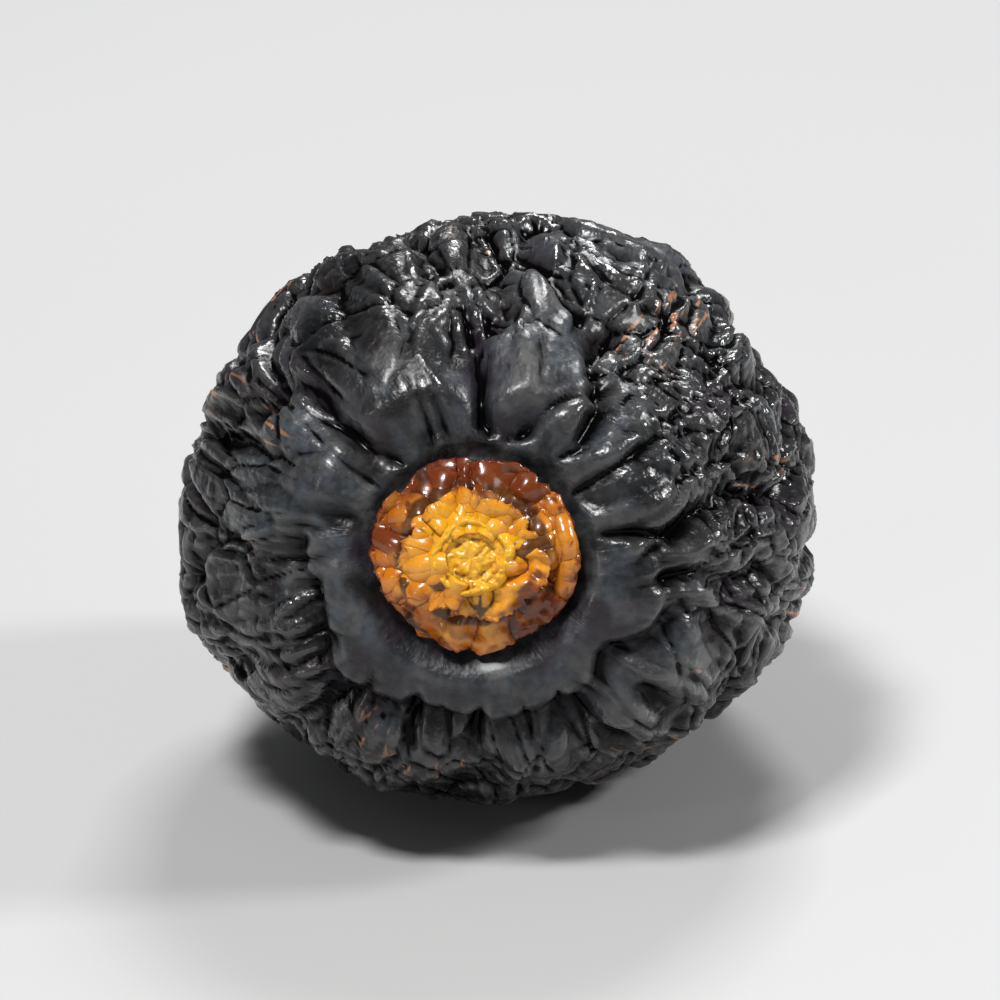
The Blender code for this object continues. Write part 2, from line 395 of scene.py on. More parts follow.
@dataclass(frozen=True)
class Shrinkage:
    """How a skin that is too large for its flesh settles into wrinkles.

    Lengths are in cells of the net, so the wrinkles' width follows from bending against holding.

    Attributes:
        steps: How many small moves the skin makes.
        pace: Length of one move in time.
        drag: Share of its speed that a point keeps at each move.
        bending: How much the skin resists folding.
        hold_in: How hard the flesh pushes back where the skin is pressed in.
        hold_out: How hard it holds on where the skin lifts.
        hold_along: How hard it keeps the skin from sliding.
        slack: How far the skin lifts or sinks before it is held much harder.
        wall: How hard it is held beyond that.
        shake: Size of the small uneven start.
        seed: Seed of that start.
    """

    steps: int = 230
    pace: float = 0.42
    drag: float = 0.93
    bending: float = 0.12
    hold_in: float = 0.06
    hold_out: float = 0.03
    hold_along: float = 0.002
    slack: tuple[float, float] = (-1.2, 1.6)
    wall: float = 0.08
    shake: float = 0.02
    seed: int = 3

    def settle(self, net: SkinNet, spare: list[tuple[np.ndarray, np.ndarray]]) -> np.ndarray:
        """Lets the skin buckle.

        Args:
            net: The skin, smooth and tight over the flesh.
            spare: Pairs of a share of spare length at each point and the direction that it lies in.

        Returns:
            The settled points, in metres.
        """
        sides, crosses = net.links()
        cell = float(np.linalg.norm(net.points[sides[:, 0]] - net.points, axis=1).mean())
        start = (net.points / cell).astype(np.float32)
        normals = net.normals().astype(np.float32)
        ties = [(sides[:, column], 1.0) for column in range(4)]
        ties += [(crosses[:, column], 0.5) for column in range(4)]
        rest = [self._rest_length(start, partner, spare) for partner, _ in ties]
        draws = np.random.RandomState(self.seed)
        uneven = draws.normal(scale=self.shake, size=len(start)).astype(np.float32)
        place = start + normals * uneven[:, None]
        speed = np.zeros_like(place)
        for _ in range(self.steps):
            pull = np.zeros_like(place)
            curve = np.zeros_like(place)
            for column, ((partner, stiffness), length) in enumerate(zip(ties, rest)):
                reach = place[partner] - place
                if column < 4:
                    curve += 0.25 * reach
                now = np.sqrt(np.einsum("ij,ij->i", reach, reach)) + 1e-6
                pull += reach * (stiffness * (1.0 - length / now))[:, None]
            around = sum(curve[sides[:, column]] for column in range(4)) * 0.25
            pull -= self.bending * (around - curve)
            lift = np.einsum("ij,ij->i", place - start, normals)
            hold = np.where(lift < 0.0, self.hold_in, self.hold_out) * lift
            beyond = np.minimum(lift - self.slack[0], 0.0) + np.maximum(lift - self.slack[1], 0.0)
            hold = (hold + self.wall * beyond).astype(np.float32)
            slide = place - start - normals * lift[:, None]
            pull -= normals * hold[:, None] + self.hold_along * slide
            speed = (speed + self.pace * pull) * self.drag
            place = place + self.pace * speed
        return place.astype(float) * cell

    def _rest_length(
        self, start: np.ndarray, partner: np.ndarray, spare: list[tuple[np.ndarray, np.ndarray]]
    ) -> np.ndarray:
        """The length that each tie would like to have once the skin has its spare length."""
        reach = start[partner] - start
        length = np.linalg.norm(reach, axis=1)
        unit = reach / np.maximum(length, 1e-9)[:, None]
        extra = np.zeros(len(start))
        for share, direction in spare:
            shared = 0.5 * (share + share[partner])
            extra += shared * np.einsum("ij,ij->i", unit, direction) ** 2
        return (length * (1.0 + extra)).astype(np.float32)


@dataclass(frozen=True)
class Crackle:
    """Small flat plates of skin with thin creases between them.

    Attributes:
        size: Mean width of a plate.
        stretch: How much the pattern is drawn out along the fruit before plates are laid out in it.
        lean: How far a plate rises on one side and sinks on the other.
        crease: Depth of the creases.
        width: Width of a crease, as a share of a plate.
        sharpness: How suddenly one plate's lean turns into the next one's.
        seed: Start of the draws that place the plates.
    """

    size: float
    stretch: float
    lean: float
    crease: float
    width: float
    sharpness: float
    seed: int

    def height(self, places: np.ndarray) -> np.ndarray:
        """How far the skin stands out at each place.

        Args:
            places: Places in the skin's pattern, in metres.

        Returns:
            The height at each place, in metres.
        """
        gaps, leans, _ = self._plates_round(places)
        nearest = np.partition(gaps, 1, axis=0)[:2]
        share = np.exp(-self.sharpness * (gaps - nearest[0]))
        lean = (share * leans).sum(axis=0) / share.sum(axis=0)
        crease = np.exp(-(((nearest[1] - nearest[0]) / self.width) ** 2))
        return self.lean * lean - self.crease * crease

    def tones(self, places: np.ndarray) -> np.ndarray:
        """A number from 0 to 1 for the plate that each place lies on."""
        gaps, _, tones = self._plates_round(places)
        return np.take_along_axis(tones, gaps.argmin(axis=0)[None], axis=0)[0]

    def _plates_round(self, places: np.ndarray) -> tuple[np.ndarray, np.ndarray, np.ndarray]:
        """For the 27 plates round each place: how far their middles are, their lean there and their tone."""
        spots = places * np.array([self.stretch, 1.0, 1.0]) / self.size
        corner = np.floor(spots).astype(np.int64)
        rows = []
        for step in np.ndindex(3, 3, 3):
            cell = corner + (np.array(step) - 1)
            draws = self._draws(cell)
            offset = spots - (cell + 0.12 + 0.76 * draws[:, :3])
            lean = np.einsum("ij,ij->i", offset, 2.0 * draws[:, 3:] - 1.0)
            rows.append((np.linalg.norm(offset, axis=1), lean, draws[:, 3]))
        gaps, leans, tones = (np.array(column) for column in zip(*rows))
        return gaps, leans, tones

    def _draws(self, cells: np.ndarray) -> np.ndarray:
        """Six even draws from 0 to 1 for each cell, the same for a cell each time."""
        factors = np.array([73856093, 19349663, 83492791], dtype=np.int64)
        code = (cells * factors).sum(axis=1) + self.seed * 2654435761
        columns = []
        for turn in range(6):
            mixed = (code + turn * 97531357) & 0xFFFFFFFF
            mixed = ((mixed ^ (mixed >> 15)) * 2246822519) & 0xFFFFFFFF
            mixed = ((mixed ^ (mixed >> 13)) * 3266489917) & 0xFFFFFFFF
            columns.append((mixed ^ (mixed >> 16)) / 4294967296.0)
        return np.stack(columns, axis=1)


@dataclass(frozen=True)
class Ridges:
    """Thin lines of pinched skin that stand up from the plates.

    Attributes:
        size: Mean distance between lines.
        stretch: How much the pattern is squeezed along the fruit, so that the lines run lengthways.
        rise: Height of a line.
        width: Half the width of a line, as a share of their distance.
        patch_size: Size of the patches that have lines.
        shift: Offset of the pattern.
    """

    size: float
    stretch: float
    rise: float
    width: float
    patch_size: float
    shift: float

    def height(self, places: np.ndarray) -> np.ndarray:
        """How far the lines stand out at each place.

        Args:
            places: Places in the skin's pattern, in metres.

        Returns:
            The height at each place, in metres.
        """
        moved = Vector((self.shift, 2.0 * self.shift, 3.0 * self.shift))
        heights = []
        for place in places:
            spot = Vector((place[0] * self.stretch, place[1], place[2]))
            wave = noise.noise(spot / self.size + moved)
            patch = soft_step(-0.25, 0.15, noise.noise(spot / self.patch_size - moved))
            heights.append(self.rise * patch * bump(wave, 0.0, self.width))
        return np.array(heights)


@dataclass
class SkinPoints:
    """The skin's points before anything is raised from them.

    Attributes:
        directions: Where each point lies, seen from the fruit's middle.
        plain: Its place on the plain ovoid.
        pattern: Its place in the pattern of folds and plates, in metres.
    """

    directions: list[Vector]
    plain: list[Vector]
    pattern: np.ndarray

    @classmethod
    def spread(cls, corners: list[Vector], relief: SkinRelief) -> "SkinPoints":
        """Spreads the points of a cube over the fruit, bent so that cells come out even."""
        bent = [Vector([math.tan(value * math.pi / 4.0) for value in corner]) for corner in corners]
        directions = [corner.normalized() for corner in bent]
        plain = [relief.body.ovoid(direction) for direction in directions]
        pattern = np.array([relief.pattern_place(spot, way) for spot, way in zip(plain, directions)])
        return cls(directions, plain, pattern)

    def values(self, rule: Callable[[Vector], float]) -> np.ndarray:
        """One number for each point, by a rule that reads its place on the ovoid."""
        return np.array([rule(spot) for spot in self.plain])


@dataclass
class Fruit:
    """The fruit's skin in fine cells, wrinkled and ready for its finish.

    Attributes:
        relief: The formula that the skin is laid out by.
        shrinkage: How the skin settles into wrinkles.
        cells: Cells along each edge of the cube that the skin is blown up from.
        least_spare: Share of spare skin everywhere, round the fruit and along it.
        patch_spare: Share of further spare skin in patches, round the fruit and along it.
        net_spare: Share of spare skin along the fruit where the skin is netted.
        patch_size: Size of those patches.
        swing: How far the wrinkles turn from the fruit's length, in radians.
        swing_size: Size of the stretches that turn one way.
        large_plates: The large plates, which also give the skin its uneven tone.
        small_plates: The small plates.
        ridges: The lines of pinched skin.
        smooth_radius: How far the smooth lobes reach from the calyx's middle.
        smooth_sway: How uneven their end is.
        smooth_share: How strongly small plates show on them.
        slide: How far the formula's own frame lies from the shared one.
    """

    relief: SkinRelief = field(default_factory=SkinRelief)
    shrinkage: Shrinkage = field(default_factory=Shrinkage)
    cells: int = 128
    least_spare: tuple[float, float] = (0.02, 0.01)
    patch_spare: tuple[float, float] = (0.06, 0.03)
    net_spare: float = 0.06
    patch_size: float = 6.0 * MM
    swing: float = 0.7
    swing_size: float = 5.0 * MM
    large_plates: Crackle = Crackle(1.70 * MM, 1.30, 0.13 * MM, 0.14 * MM, 0.08, 9.0, 11)
    small_plates: Crackle = Crackle(0.85 * MM, 1.50, 0.050 * MM, 0.050 * MM, 0.14, 9.0, 29)
    ridges: tuple[Ridges, Ridges] = (
        Ridges(1.90 * MM, 1.0, 0.10 * MM, 0.055, 5.0 * MM, 3.7),
        Ridges(0.95 * MM, 0.8, 0.05 * MM, 0.090, 3.5 * MM, 8.1),
    )
    smooth_radius: float = 6.9 * MM
    smooth_sway: float = 0.9 * MM
    smooth_share: float = 0.42
    slide: Vector = field(default_factory=Vector)

    def build(self) -> Piece:
        """Makes the fruit.

        Returns:
            The fruit, in place in the frame.
        """
        form = bmesh.new()
        bmesh.ops.create_cube(form, size=2.0)
        bmesh.ops.subdivide_edges(form, edges=form.edges, cuts=self.cells - 1, use_grid_fill=True)
        layout = SkinPoints.spread([vertex.co for vertex in form.verts], self.relief)
        mesh = bpy.data.meshes.new("date_fruit")
        form.to_mesh(mesh)
        form.free()
        points = np.array([self.relief.surface(direction) for direction in layout.directions])
        quads = np.array([polygon.vertices[:] for polygon in mesh.polygons])
        net = SkinNet(points, quads)
        self.slide = self._slide_to_frame(points)
        settled = self.shrinkage.settle(net, self._spare(layout))
        settled = self._crackle(SkinNet(settled, quads), layout)
        settled[:, 2] = np.maximum(settled[:, 2], 0.0)
        self._measure(mesh, SkinNet(settled, quads), layout)
        placed = settled + np.array(self.slide)
        mesh.vertices.foreach_set("co", placed.astype(np.float32).ravel())
        mesh.update()
        mesh.shade_smooth()
        piece = bpy.data.objects.new("date_fruit", mesh)
        bpy.context.scene.collection.objects.link(piece)
        return piece

    def _slide_to_frame(self, points: np.ndarray) -> Vector:
        """How far the level formula lies from the frame's own fruit, in plan."""
        low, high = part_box("fruit")
        middle = (points.min(axis=0) + points.max(axis=0)) / 2.0
        return Vector(((low.x + high.x) / 2.0 - middle[0], (low.y + high.y) / 2.0 - middle[1], 0.0))

    def _spare(self, layout: SkinPoints) -> list[tuple[np.ndarray, np.ndarray]]:
        """Spare skin at each point: most of it round the fruit, less along it, more where it is netted."""
        body = self.relief.body
        ways = ([], [])
        shares = ([], [])
        for plain in layout.plain:
            normal = body.turn @ body.outward(plain)
            across = body.axis.cross(normal).normalized()
            along = normal.cross(across)
            angle = self.swing * noise.noise(plain / self.swing_size + Vector((1.0, 8.0, 3.0)))
            ways[0].append(across * math.cos(angle) + along * math.sin(angle))
            ways[1].append(along * math.cos(angle) - across * math.sin(angle))
            patch = soft_step(-0.35, 0.30, noise.fractal(plain / self.patch_size, 1.0, 2.0, 2))
            netted = soft_step(0.0, 0.35, noise.noise(plain / self.patch_size + Vector((9.0, 4.0, 6.0))))
            quiet = self._quiet(plain)
            extra = (0.0, self.net_spare * netted * patch)
            for share, least, more, net in zip(shares, self.least_spare, self.patch_spare, extra):
                share.append(quiet * (least + more * patch + net))
        return [(np.array(share), np.array(way)) for share, way in zip(shares, ways)]

    def _crackle(self, net: SkinNet, layout: SkinPoints) -> np.ndarray:
        """Raises the plates and the lines of pinched skin from the settled skin.

        Args:
            net: The settled skin.
            layout: Its points before they were raised.

        Returns:
            The points with the plates and lines.
        """
        layers = (self.large_plates, self.small_plates, *self.ridges)
        height = sum(layer.height(layout.pattern) for layer in layers)
        height = height * layout.values(self._quiet) * layout.values(self._calm)
        return net.points + net.normals() * height[:, None]

    def _calm(self, plain: Vector) -> float:
        """How strongly small plates show: hardly on the broad lobes round the calyx."""
        if plain.x <= 0.0:
            return 1.0
        edge = self.smooth_radius + self.smooth_sway * noise.noise(plain / (2.6 * MM))
        rough = soft_step(edge - self.smooth_sway, edge + self.smooth_sway, math.hypot(plain.y, plain.z))
        return self.smooth_share + (1.0 - self.smooth_share) * rough

    def _quiet(self, plain: Vector) -> float:
        """How free the skin is to wrinkle: not under the calyx, at the apex's tip or where the date rests."""
        start, full = (4.1 * MM, 7.0 * MM) if plain.x > 0.0 else (0.3 * MM, 1.5 * MM)
        end = soft_step(start, full, math.hypot(plain.y, plain.z))
        return end * soft_step(0.2 * MM, 1.4 * MM, self.relief.body.at_rest(plain).z)

    def _measure(self, mesh: bpy.types.Mesh, net: SkinNet, layout: SkinPoints) -> None:
        """Writes what the finish needs onto the mesh: crests, level, patches and place in the pattern."""
        sides, _ = net.links()
        normals = net.normals()
        smoothed = net.points.copy()
        crest = np.zeros(len(normals))
        for turn in range(60):
            smoothed = 0.4 * smoothed + 0.15 * sum(smoothed[sides[:, column]] for column in range(4))
            if turn == 2:
                crest = np.einsum("ij,ij->i", net.points - smoothed, normals)
        level = np.einsum("ij,ij->i", net.points - smoothed, normals)
        calm = layout.values(self._calm)
        tone = 0.6 * self.large_plates.tones(layout.pattern) + 0.4 * self.small_plates.tones(layout.pattern)
        values = {
            "crest": crest / (0.02 * MM),
            "level": level / (0.25 * MM) * (0.45 + 0.55 * calm),
            "bloom_and_sheen": layout.values(self._bloom_and_sheen),
            "calm": calm,
            "netted": layout.values(self._netted) * calm,
            # The plates' tone, raised round the calyx, where it strengthens the painted light on the collar.
            "tone": tone + (1.0 - tone) * 0.6 * (1.0 - calm),
        }
        for name, numbers in values.items():
            attribute = mesh.attributes.new(name, "FLOAT", "POINT")
            attribute.data.foreach_set("value", numbers.astype(np.float32))
        pattern = mesh.attributes.new("pattern", "FLOAT_VECTOR", "POINT")
        pattern.data.foreach_set("vector", (layout.pattern / MM).astype(np.float32).ravel())

    def _bloom_and_sheen(self, plain: Vector) -> float:
        """How much pale bloom there is, partly painted light: bloom in patches, cut low down as painted
        shade, a painted sheen on the top rim and painted light on the collar round the calyx.
        """
        clouds = noise.fractal(plain / (5.5 * MM) + Vector((3.0, 3.0, 8.0)), 1.0, 2.0, 3)
        patch = soft_step(-0.05, 0.45, clouds)
        # Painted shade: less bloom low down, so that the lower side is darker.
        patch *= 0.3 + 0.7 * soft_step(2.0 * MM, 13.0 * MM, self.relief.body.at_rest(plain).z)
        if plain.x <= 0.0:
            return patch
        radius = math.hypot(plain.y, plain.z)
        spots = noise.fractal(plain / (1.4 * MM), 0.8, 2.0, 2)
        # Painted light: bloom round the calyx lightens the collar as if lit.
        near = soft_step(8.5 * MM, 5.5 * MM, radius) * (0.10 + 0.90 * soft_step(-0.25, 0.35, spots))
        # Painted sheen: a pale band along the top rim.
        rim = 0.9 * bump(math.atan2(plain.z, plain.y), math.radians(68.0), 0.55)
        rim *= soft_step(6.8 * MM, 8.4 * MM, radius) * soft_step(0.0, 4.0 * MM, plain.x)
        return max(patch, near, rim)

    def _netted(self, plain: Vector) -> float:
        """How pebbled the skin is: in patches, and most on the right-hand flank by the calyx end."""
        patch = 0.8 * soft_step(-0.10, 0.30, noise.noise(plain / (4.5 * MM) + Vector((6.0, 2.0, 1.0))))
        if plain.x <= 0.0:
            return patch
        flank = bump(math.atan2(plain.z, plain.y), math.radians(28.0), 0.36)
        flank *= soft_step(7.2 * MM, 8.8 * MM, math.hypot(plain.y, plain.z))
        flank *= soft_step(0.0, 4.0 * MM, plain.x)
        return max(patch, flank)


class Whorl(Enum):
    """The rings of scales in the calyx."""

    PETALS = "petals"
    SEPALS = "sepals"


@dataclass(frozen=True)
class ScaleShape:
    """The size and lie of the scales of one whorl.

    Attributes:
        angles: Where the middle of each scale points, in degrees round the calyx.
        half_spans: Half the angle that each scale covers, in degrees.
        inner: Radius where a scale starts.
        reach: Radius of its tip.
        shoulder: Share of its reach that is lost at its two corners.
        ragged: How uneven its rim is, as a share of its reach.
        lift: Height of its underside over the pit.
        rise: How much higher its inner end lies.
        tuck: How much higher its one side lies, over the next scale.
        curl: How far its rim turns up or down in places.
        crumple: Height of its creases.
        thickness: Thickness of the scale.
        seed: Offset of its unevenness.
    """

    angles: tuple[float, ...]
    half_spans: tuple[float, ...]
    inner: float
    reach: float
    shoulder: float
    ragged: float
    lift: float
    rise: float
    tuck: float
    curl: float
    crumple: float
    thickness: float
    seed: float


SCALES = {
    Whorl.PETALS: ScaleShape(
        angles=(24.0, 148.0, 262.0),
        half_spans=(74.0, 70.0, 78.0),
        inner=1.0 * MM,
        reach=3.68 * MM,
        shoulder=0.10,
        ragged=0.07,
        lift=0.30 * MM,
        rise=0.34 * MM,
        tuck=0.30 * MM,
        curl=0.50 * MM,
        crumple=0.42 * MM,
        thickness=0.24 * MM,
        seed=2.0,
    ),
    Whorl.SEPALS: ScaleShape(
        angles=(76.0, 196.0, 318.0),
        half_spans=(64.0, 58.0, 66.0),
        inner=0.9 * MM,
        reach=2.60 * MM,
        shoulder=0.16,
        ragged=0.16,
        lift=0.92 * MM,
        rise=0.26 * MM,
        tuck=0.16 * MM,
        curl=0.40 * MM,
        crumple=0.36 * MM,
        thickness=0.22 * MM,
        seed=7.0,
    ),
}


@dataclass(frozen=True)
class Scorch:
    """A red-brown stretch of the calyx.

    Attributes:
        angle: Where its middle points, in degrees round the calyx.
        spread: How far round it reaches, in radians.
        start: Radius where it starts.
        full: Radius where it is darkest.
        share: How dark it is, up to 1.
    """

    angle: float
    spread: float
    start: float
    full: float
    share: float = 1.0

    def at(self, radius: float, around: float) -> float:
        """How dark it makes a place on the calyx."""
        away = math.remainder(around - math.radians(self.angle), math.tau)
        return self.share * bump(away, 0.0, self.spread) * soft_step(self.start, self.full, radius)


SCORCHES = (
    Scorch(92.0, 1.05, 2.2 * MM, 2.9 * MM),
    Scorch(-38.0, 0.40, 1.9 * MM, 2.4 * MM),
    Scorch(172.0, 0.28, 2.3 * MM, 2.8 * MM, 0.8),
)


@dataclass
class Calyx:
    """The dry cap on the fruit's end: petals, sepals and the scar, each following the pit under them."""

    relief: SkinRelief
    slide: Vector
    across_cells: int = 110
    out_cells: int = 60
    layers: tuple[str, ...] = ("rim", "edge", "scorch", "crevice_shade", "pale")
    rib_size: float = 0.42
    folds_round: float = 2.1
    fold_length: float = 1.7 * MM
    lump_size: float = 0.75 * MM
    lip_radius: float = 3.36 * MM
    slot_radius: float = 2.86 * MM
    scar_radius: float = 1.60 * MM
    scar_lift: float = 0.60 * MM
    scar_top: float = 1.36 * MM
    scar_rim: float = 0.20 * MM
    scar_segments: int = 160
    scar_rings: int = 90

    def seat(self, radius: float, around: float, lift: float) -> Vector:
        """A point over the pit's floor.

        Args:
            radius: Distance from the fruit's axis.
            around: Angle round it.
            lift: Height over the floor, along the axis.

        Returns:
            The point, in place in the frame.
        """
        body = self.relief.body
        floor = self.relief.surface(body.towards(radius, around))
        return floor + body.axis * lift + self.slide

    def scorch(self, radius: float, around: float) -> float:
        """How dark the calyx is: in its scorched stretches and in small patches.

        Args:
            radius: Distance from the calyx's middle.
            around: Angle round it.

        Returns:
            A share from 0 to 1.
        """
        spot = Vector((radius * math.cos(around), radius * math.sin(around), 0.004)) / (0.8 * MM)
        patch = soft_step(0.05, 0.50, noise.fractal(spot, 0.8, 2.0, 3))
        patch *= 0.5 * soft_step(1.5 * MM, 2.6 * MM, radius)
        return min(1.0, sum(scorch.at(radius, around) for scorch in SCORCHES) + patch)

    def _right(self, around: float) -> float:
        """1 at the calyx's right-hand side, falling off above and below it."""
        return bump(math.remainder(around - math.radians(4.0), math.tau), 0.0, 0.50)

    def build_whorl(self, whorl: Whorl) -> Piece:
        """Makes all the scales of one whorl as one piece.

        Args:
            whorl: Which ring of scales to make.

        Returns:
            The piece.
        """
        shape = SCALES[whorl]
        form = bmesh.new()
        layers = [form.verts.layers.float.new(name) for name in self.layers]
        for angle, half_span in zip(shape.angles, shape.half_spans):
            cells = {"x_segments": self.across_cells, "y_segments": self.out_cells}
            for vertex in bmesh.ops.create_grid(form, size=1.0, **cells)["verts"]:
                side, out = vertex.co.x, 0.5 + 0.5 * vertex.co.y
                around = math.radians(angle + half_span * side)
                radius = self._scale_radius(shape, angle, side, out, around)
                lift, crevice_shade, pale = self._scale_relief(shape, angle, side, out, around, radius)
                edge = max(abs(side), out) ** 8
                values = (radius / shape.reach, edge, self.scorch(radius, around), crevice_shade, pale)
                for layer, value in zip(layers, values):
                    vertex[layer] = value
                vertex.co = self.seat(radius, around, lift)
        return self._finish_form(form, f"calyx_{whorl.value}", shape.thickness)

    def _scale_radius(self, shape: ScaleShape, angle: float, side: float, out: float, around: float) -> float:
        """How far from the axis a point of a scale is: side runs from -1 to 1 over it, out from 0 to 1."""
        spot = Vector((3.0 * math.cos(around), 3.0 * math.sin(around), shape.seed + angle))
        tip = shape.reach * (1.0 - shape.shoulder * abs(side) ** 3.0)
        tip *= 1.0 + shape.ragged * noise.fractal(spot * 1.2, 0.9, 2.0, 4)
        return shape.inner + (tip - shape.inner) * out

    def _scale_relief(
        self, shape: ScaleShape, angle: float, side: float, out: float, around: float, radius: float
    ) -> tuple[float, float, float]:
        """The relief of one point of a scale.

        Args:
            shape: The whorl's scales.
            angle: Where this scale's middle points, in degrees.
            side: Place across the scale, from -1 to 1.
            out: Place along it, from 0 at its inner end to 1 at its rim.
            around: Angle round the calyx.
            radius: Distance from the fruit's axis.

        Returns:
            The point's height over the pit, and shares of painted shade in its creases and of painted
            highlight on its crests and lip.
        """
        ring = Vector((math.cos(around), math.sin(around), 0.0))
        shift = Vector((0.0, 0.0, shape.seed + angle))
        lift = shape.lift + shape.rise * (1.0 - out) + shape.tuck * (0.5 + 0.5 * side)
        lift += shape.curl * out**2 * noise.noise(2.7 * ring + shift)
        fold = noise.noise(self.folds_round * ring + shift + Vector((0.0, 0.0, radius / self.fold_length)))
        lump = noise.noise(ring * (radius / self.lump_size) + shift)
        lift += shape.crumple * (1.5 * abs(fold) + 0.8 * abs(lump) - 0.45)
        ribs = Vector((around / self.rib_size * 4.0, radius / (1.6 * MM), shape.seed - angle))
        lift += 0.06 * MM * noise.noise(ribs) * soft_step(0.0, 0.4, out)
        # Painted shade in the creases between the crumples.
        crevice_shade = max(bump(fold, 0.0, 0.055), 0.45 * bump(lump, 0.0, 0.06))
        # Painted highlight on the crumples' crests.
        pale = soft_step(0.25, 0.60, abs(fold) + 0.5 * abs(lump))
        if shape.reach > self.lip_radius:
            right = self._right(around)
            lip = right * bump(radius, self.lip_radius, 0.13 * MM)
            slot = right * bump(radius, self.slot_radius, 0.15 * MM)
            lift += 0.28 * MM * (lip - slot)
            # Painted shade in the slot inside the lip and on the petals under the sepals' rim; none on the
            # lip.
            crevice_shade = max(crevice_shade * (1.0 - lip), slot, soft_step(2.85 * MM, 2.55 * MM, radius))
            # Painted highlight along the lip.
            pale = max(pale, lip)
        return lift, crevice_shade, pale

    def _finish_form(self, form: bmesh.types.BMesh, name: str, thickness: float) -> Piece:
        """Turns scales into an object and gives them their thickness."""
        bmesh.ops.recalc_face_normals(form, faces=form.faces)
        mesh = bpy.data.meshes.new(name)
        form.to_mesh(mesh)
        form.free()
        piece = bpy.data.objects.new(name, mesh)
        bpy.context.scene.collection.objects.link(piece)
        facing = sum((polygon.normal.dot(self.relief.body.axis) for polygon in mesh.polygons), 0.0)
        solidify = piece.modifiers.new("thickness", "SOLIDIFY")
        solidify.thickness = thickness
        solidify.offset = 1.0 if facing > 0.0 else -1.0
        evaluated = piece.evaluated_get(bpy.context.evaluated_depsgraph_get())
        piece.data = bpy.data.meshes.new_from_object(evaluated)
        piece.modifiers.clear()
        piece.data.shade_smooth()
        return piece

    def build_scar(self) -> Piece:
        """Makes the round scar: a disc with a raised rim and a rough, dimpled middle.

        Returns:
            The piece.
        """
        form = bmesh.new()
        turn = Matrix.Rotation(math.pi / 2.0, 4, "Y")
        bmesh.ops.create_uvsphere(
            form, u_segments=self.scar_segments, v_segments=self.scar_rings, radius=1.0, matrix=turn
        )
        layers = [form.verts.layers.float.new(name) for name in self.layers]
        for vertex in form.verts:
            spot = vertex.co.copy()
            part = min(1.0, math.hypot(spot.y, spot.z)) ** 0.8
            around = math.atan2(spot.z, spot.y)
            side = 0.5 + 0.5 * max(-1.0, min(1.0, spot.x / 0.30))
            dots = soft_step(-0.20, 0.25, noise.noise(spot * 5.0 + Vector((3.0, 0.0, 6.0))))
            # Painted shade in the scar's two dimpled rings, dotted in the inner one, and round its falling
            # edge.
            rings = max(0.8 * dots * bump(part, 0.46, 0.09), 0.6 * bump(part, 0.70, 0.05))
            crevice_shade = max(rings, soft_step(0.88, 1.0, part))
            values = (part, 0.0, 0.0, crevice_shade, soft_step(0.35, 0.0, part))
            for layer, value in zip(layers, values):
                vertex[layer] = value
            vertex.co = self._scar_point(part, around, side)
        bmesh.ops.recalc_face_normals(form, faces=form.faces)
        mesh = bpy.data.meshes.new("calyx_scar")
        form.to_mesh(mesh)
        form.free()
        mesh.shade_smooth()
        piece = bpy.data.objects.new("calyx_scar", mesh)
        bpy.context.scene.collection.objects.link(piece)
        return piece

    def _scar_point(self, part: float, around: float, side: float) -> Vector:
        """One point of the scar, with part from 0 to 1 outwards and side from its underside to its face."""
        spot = Vector((math.cos(around), math.sin(around), 0.0)) * part
        radius = self.scar_radius * part * (1.0 + 0.16 * noise.noise(spot * 1.5 + Vector((0.0, 0.0, 2.0))))
        rim = self.scar_rim * bump(part, 0.80 + 0.10 * noise.noise(spot * 2.0), 0.12)
        rim *= 0.55 + 0.9 * noise.noise(spot * 2.6 + Vector((5.0, 0.0, 0.0)))
        dimple = 0.13 * MM * bump(part, 0.46, 0.11) + 0.08 * MM * bump(part, 0.70, 0.06)
        rough = 0.17 * MM * abs(noise.noise(spot * 3.4 + Vector((0.0, 0.0, 4.0))))
        rough += 0.08 * MM * noise.fractal(spot * 7.0, 0.9, 2.0, 3)
        fall = 0.35 * MM * soft_step(0.84, 1.0, part)
        top = self.scar_top + rim - dimple + rough - fall
        return self.seat(radius, around, self.scar_lift + side * (top - self.scar_lift))


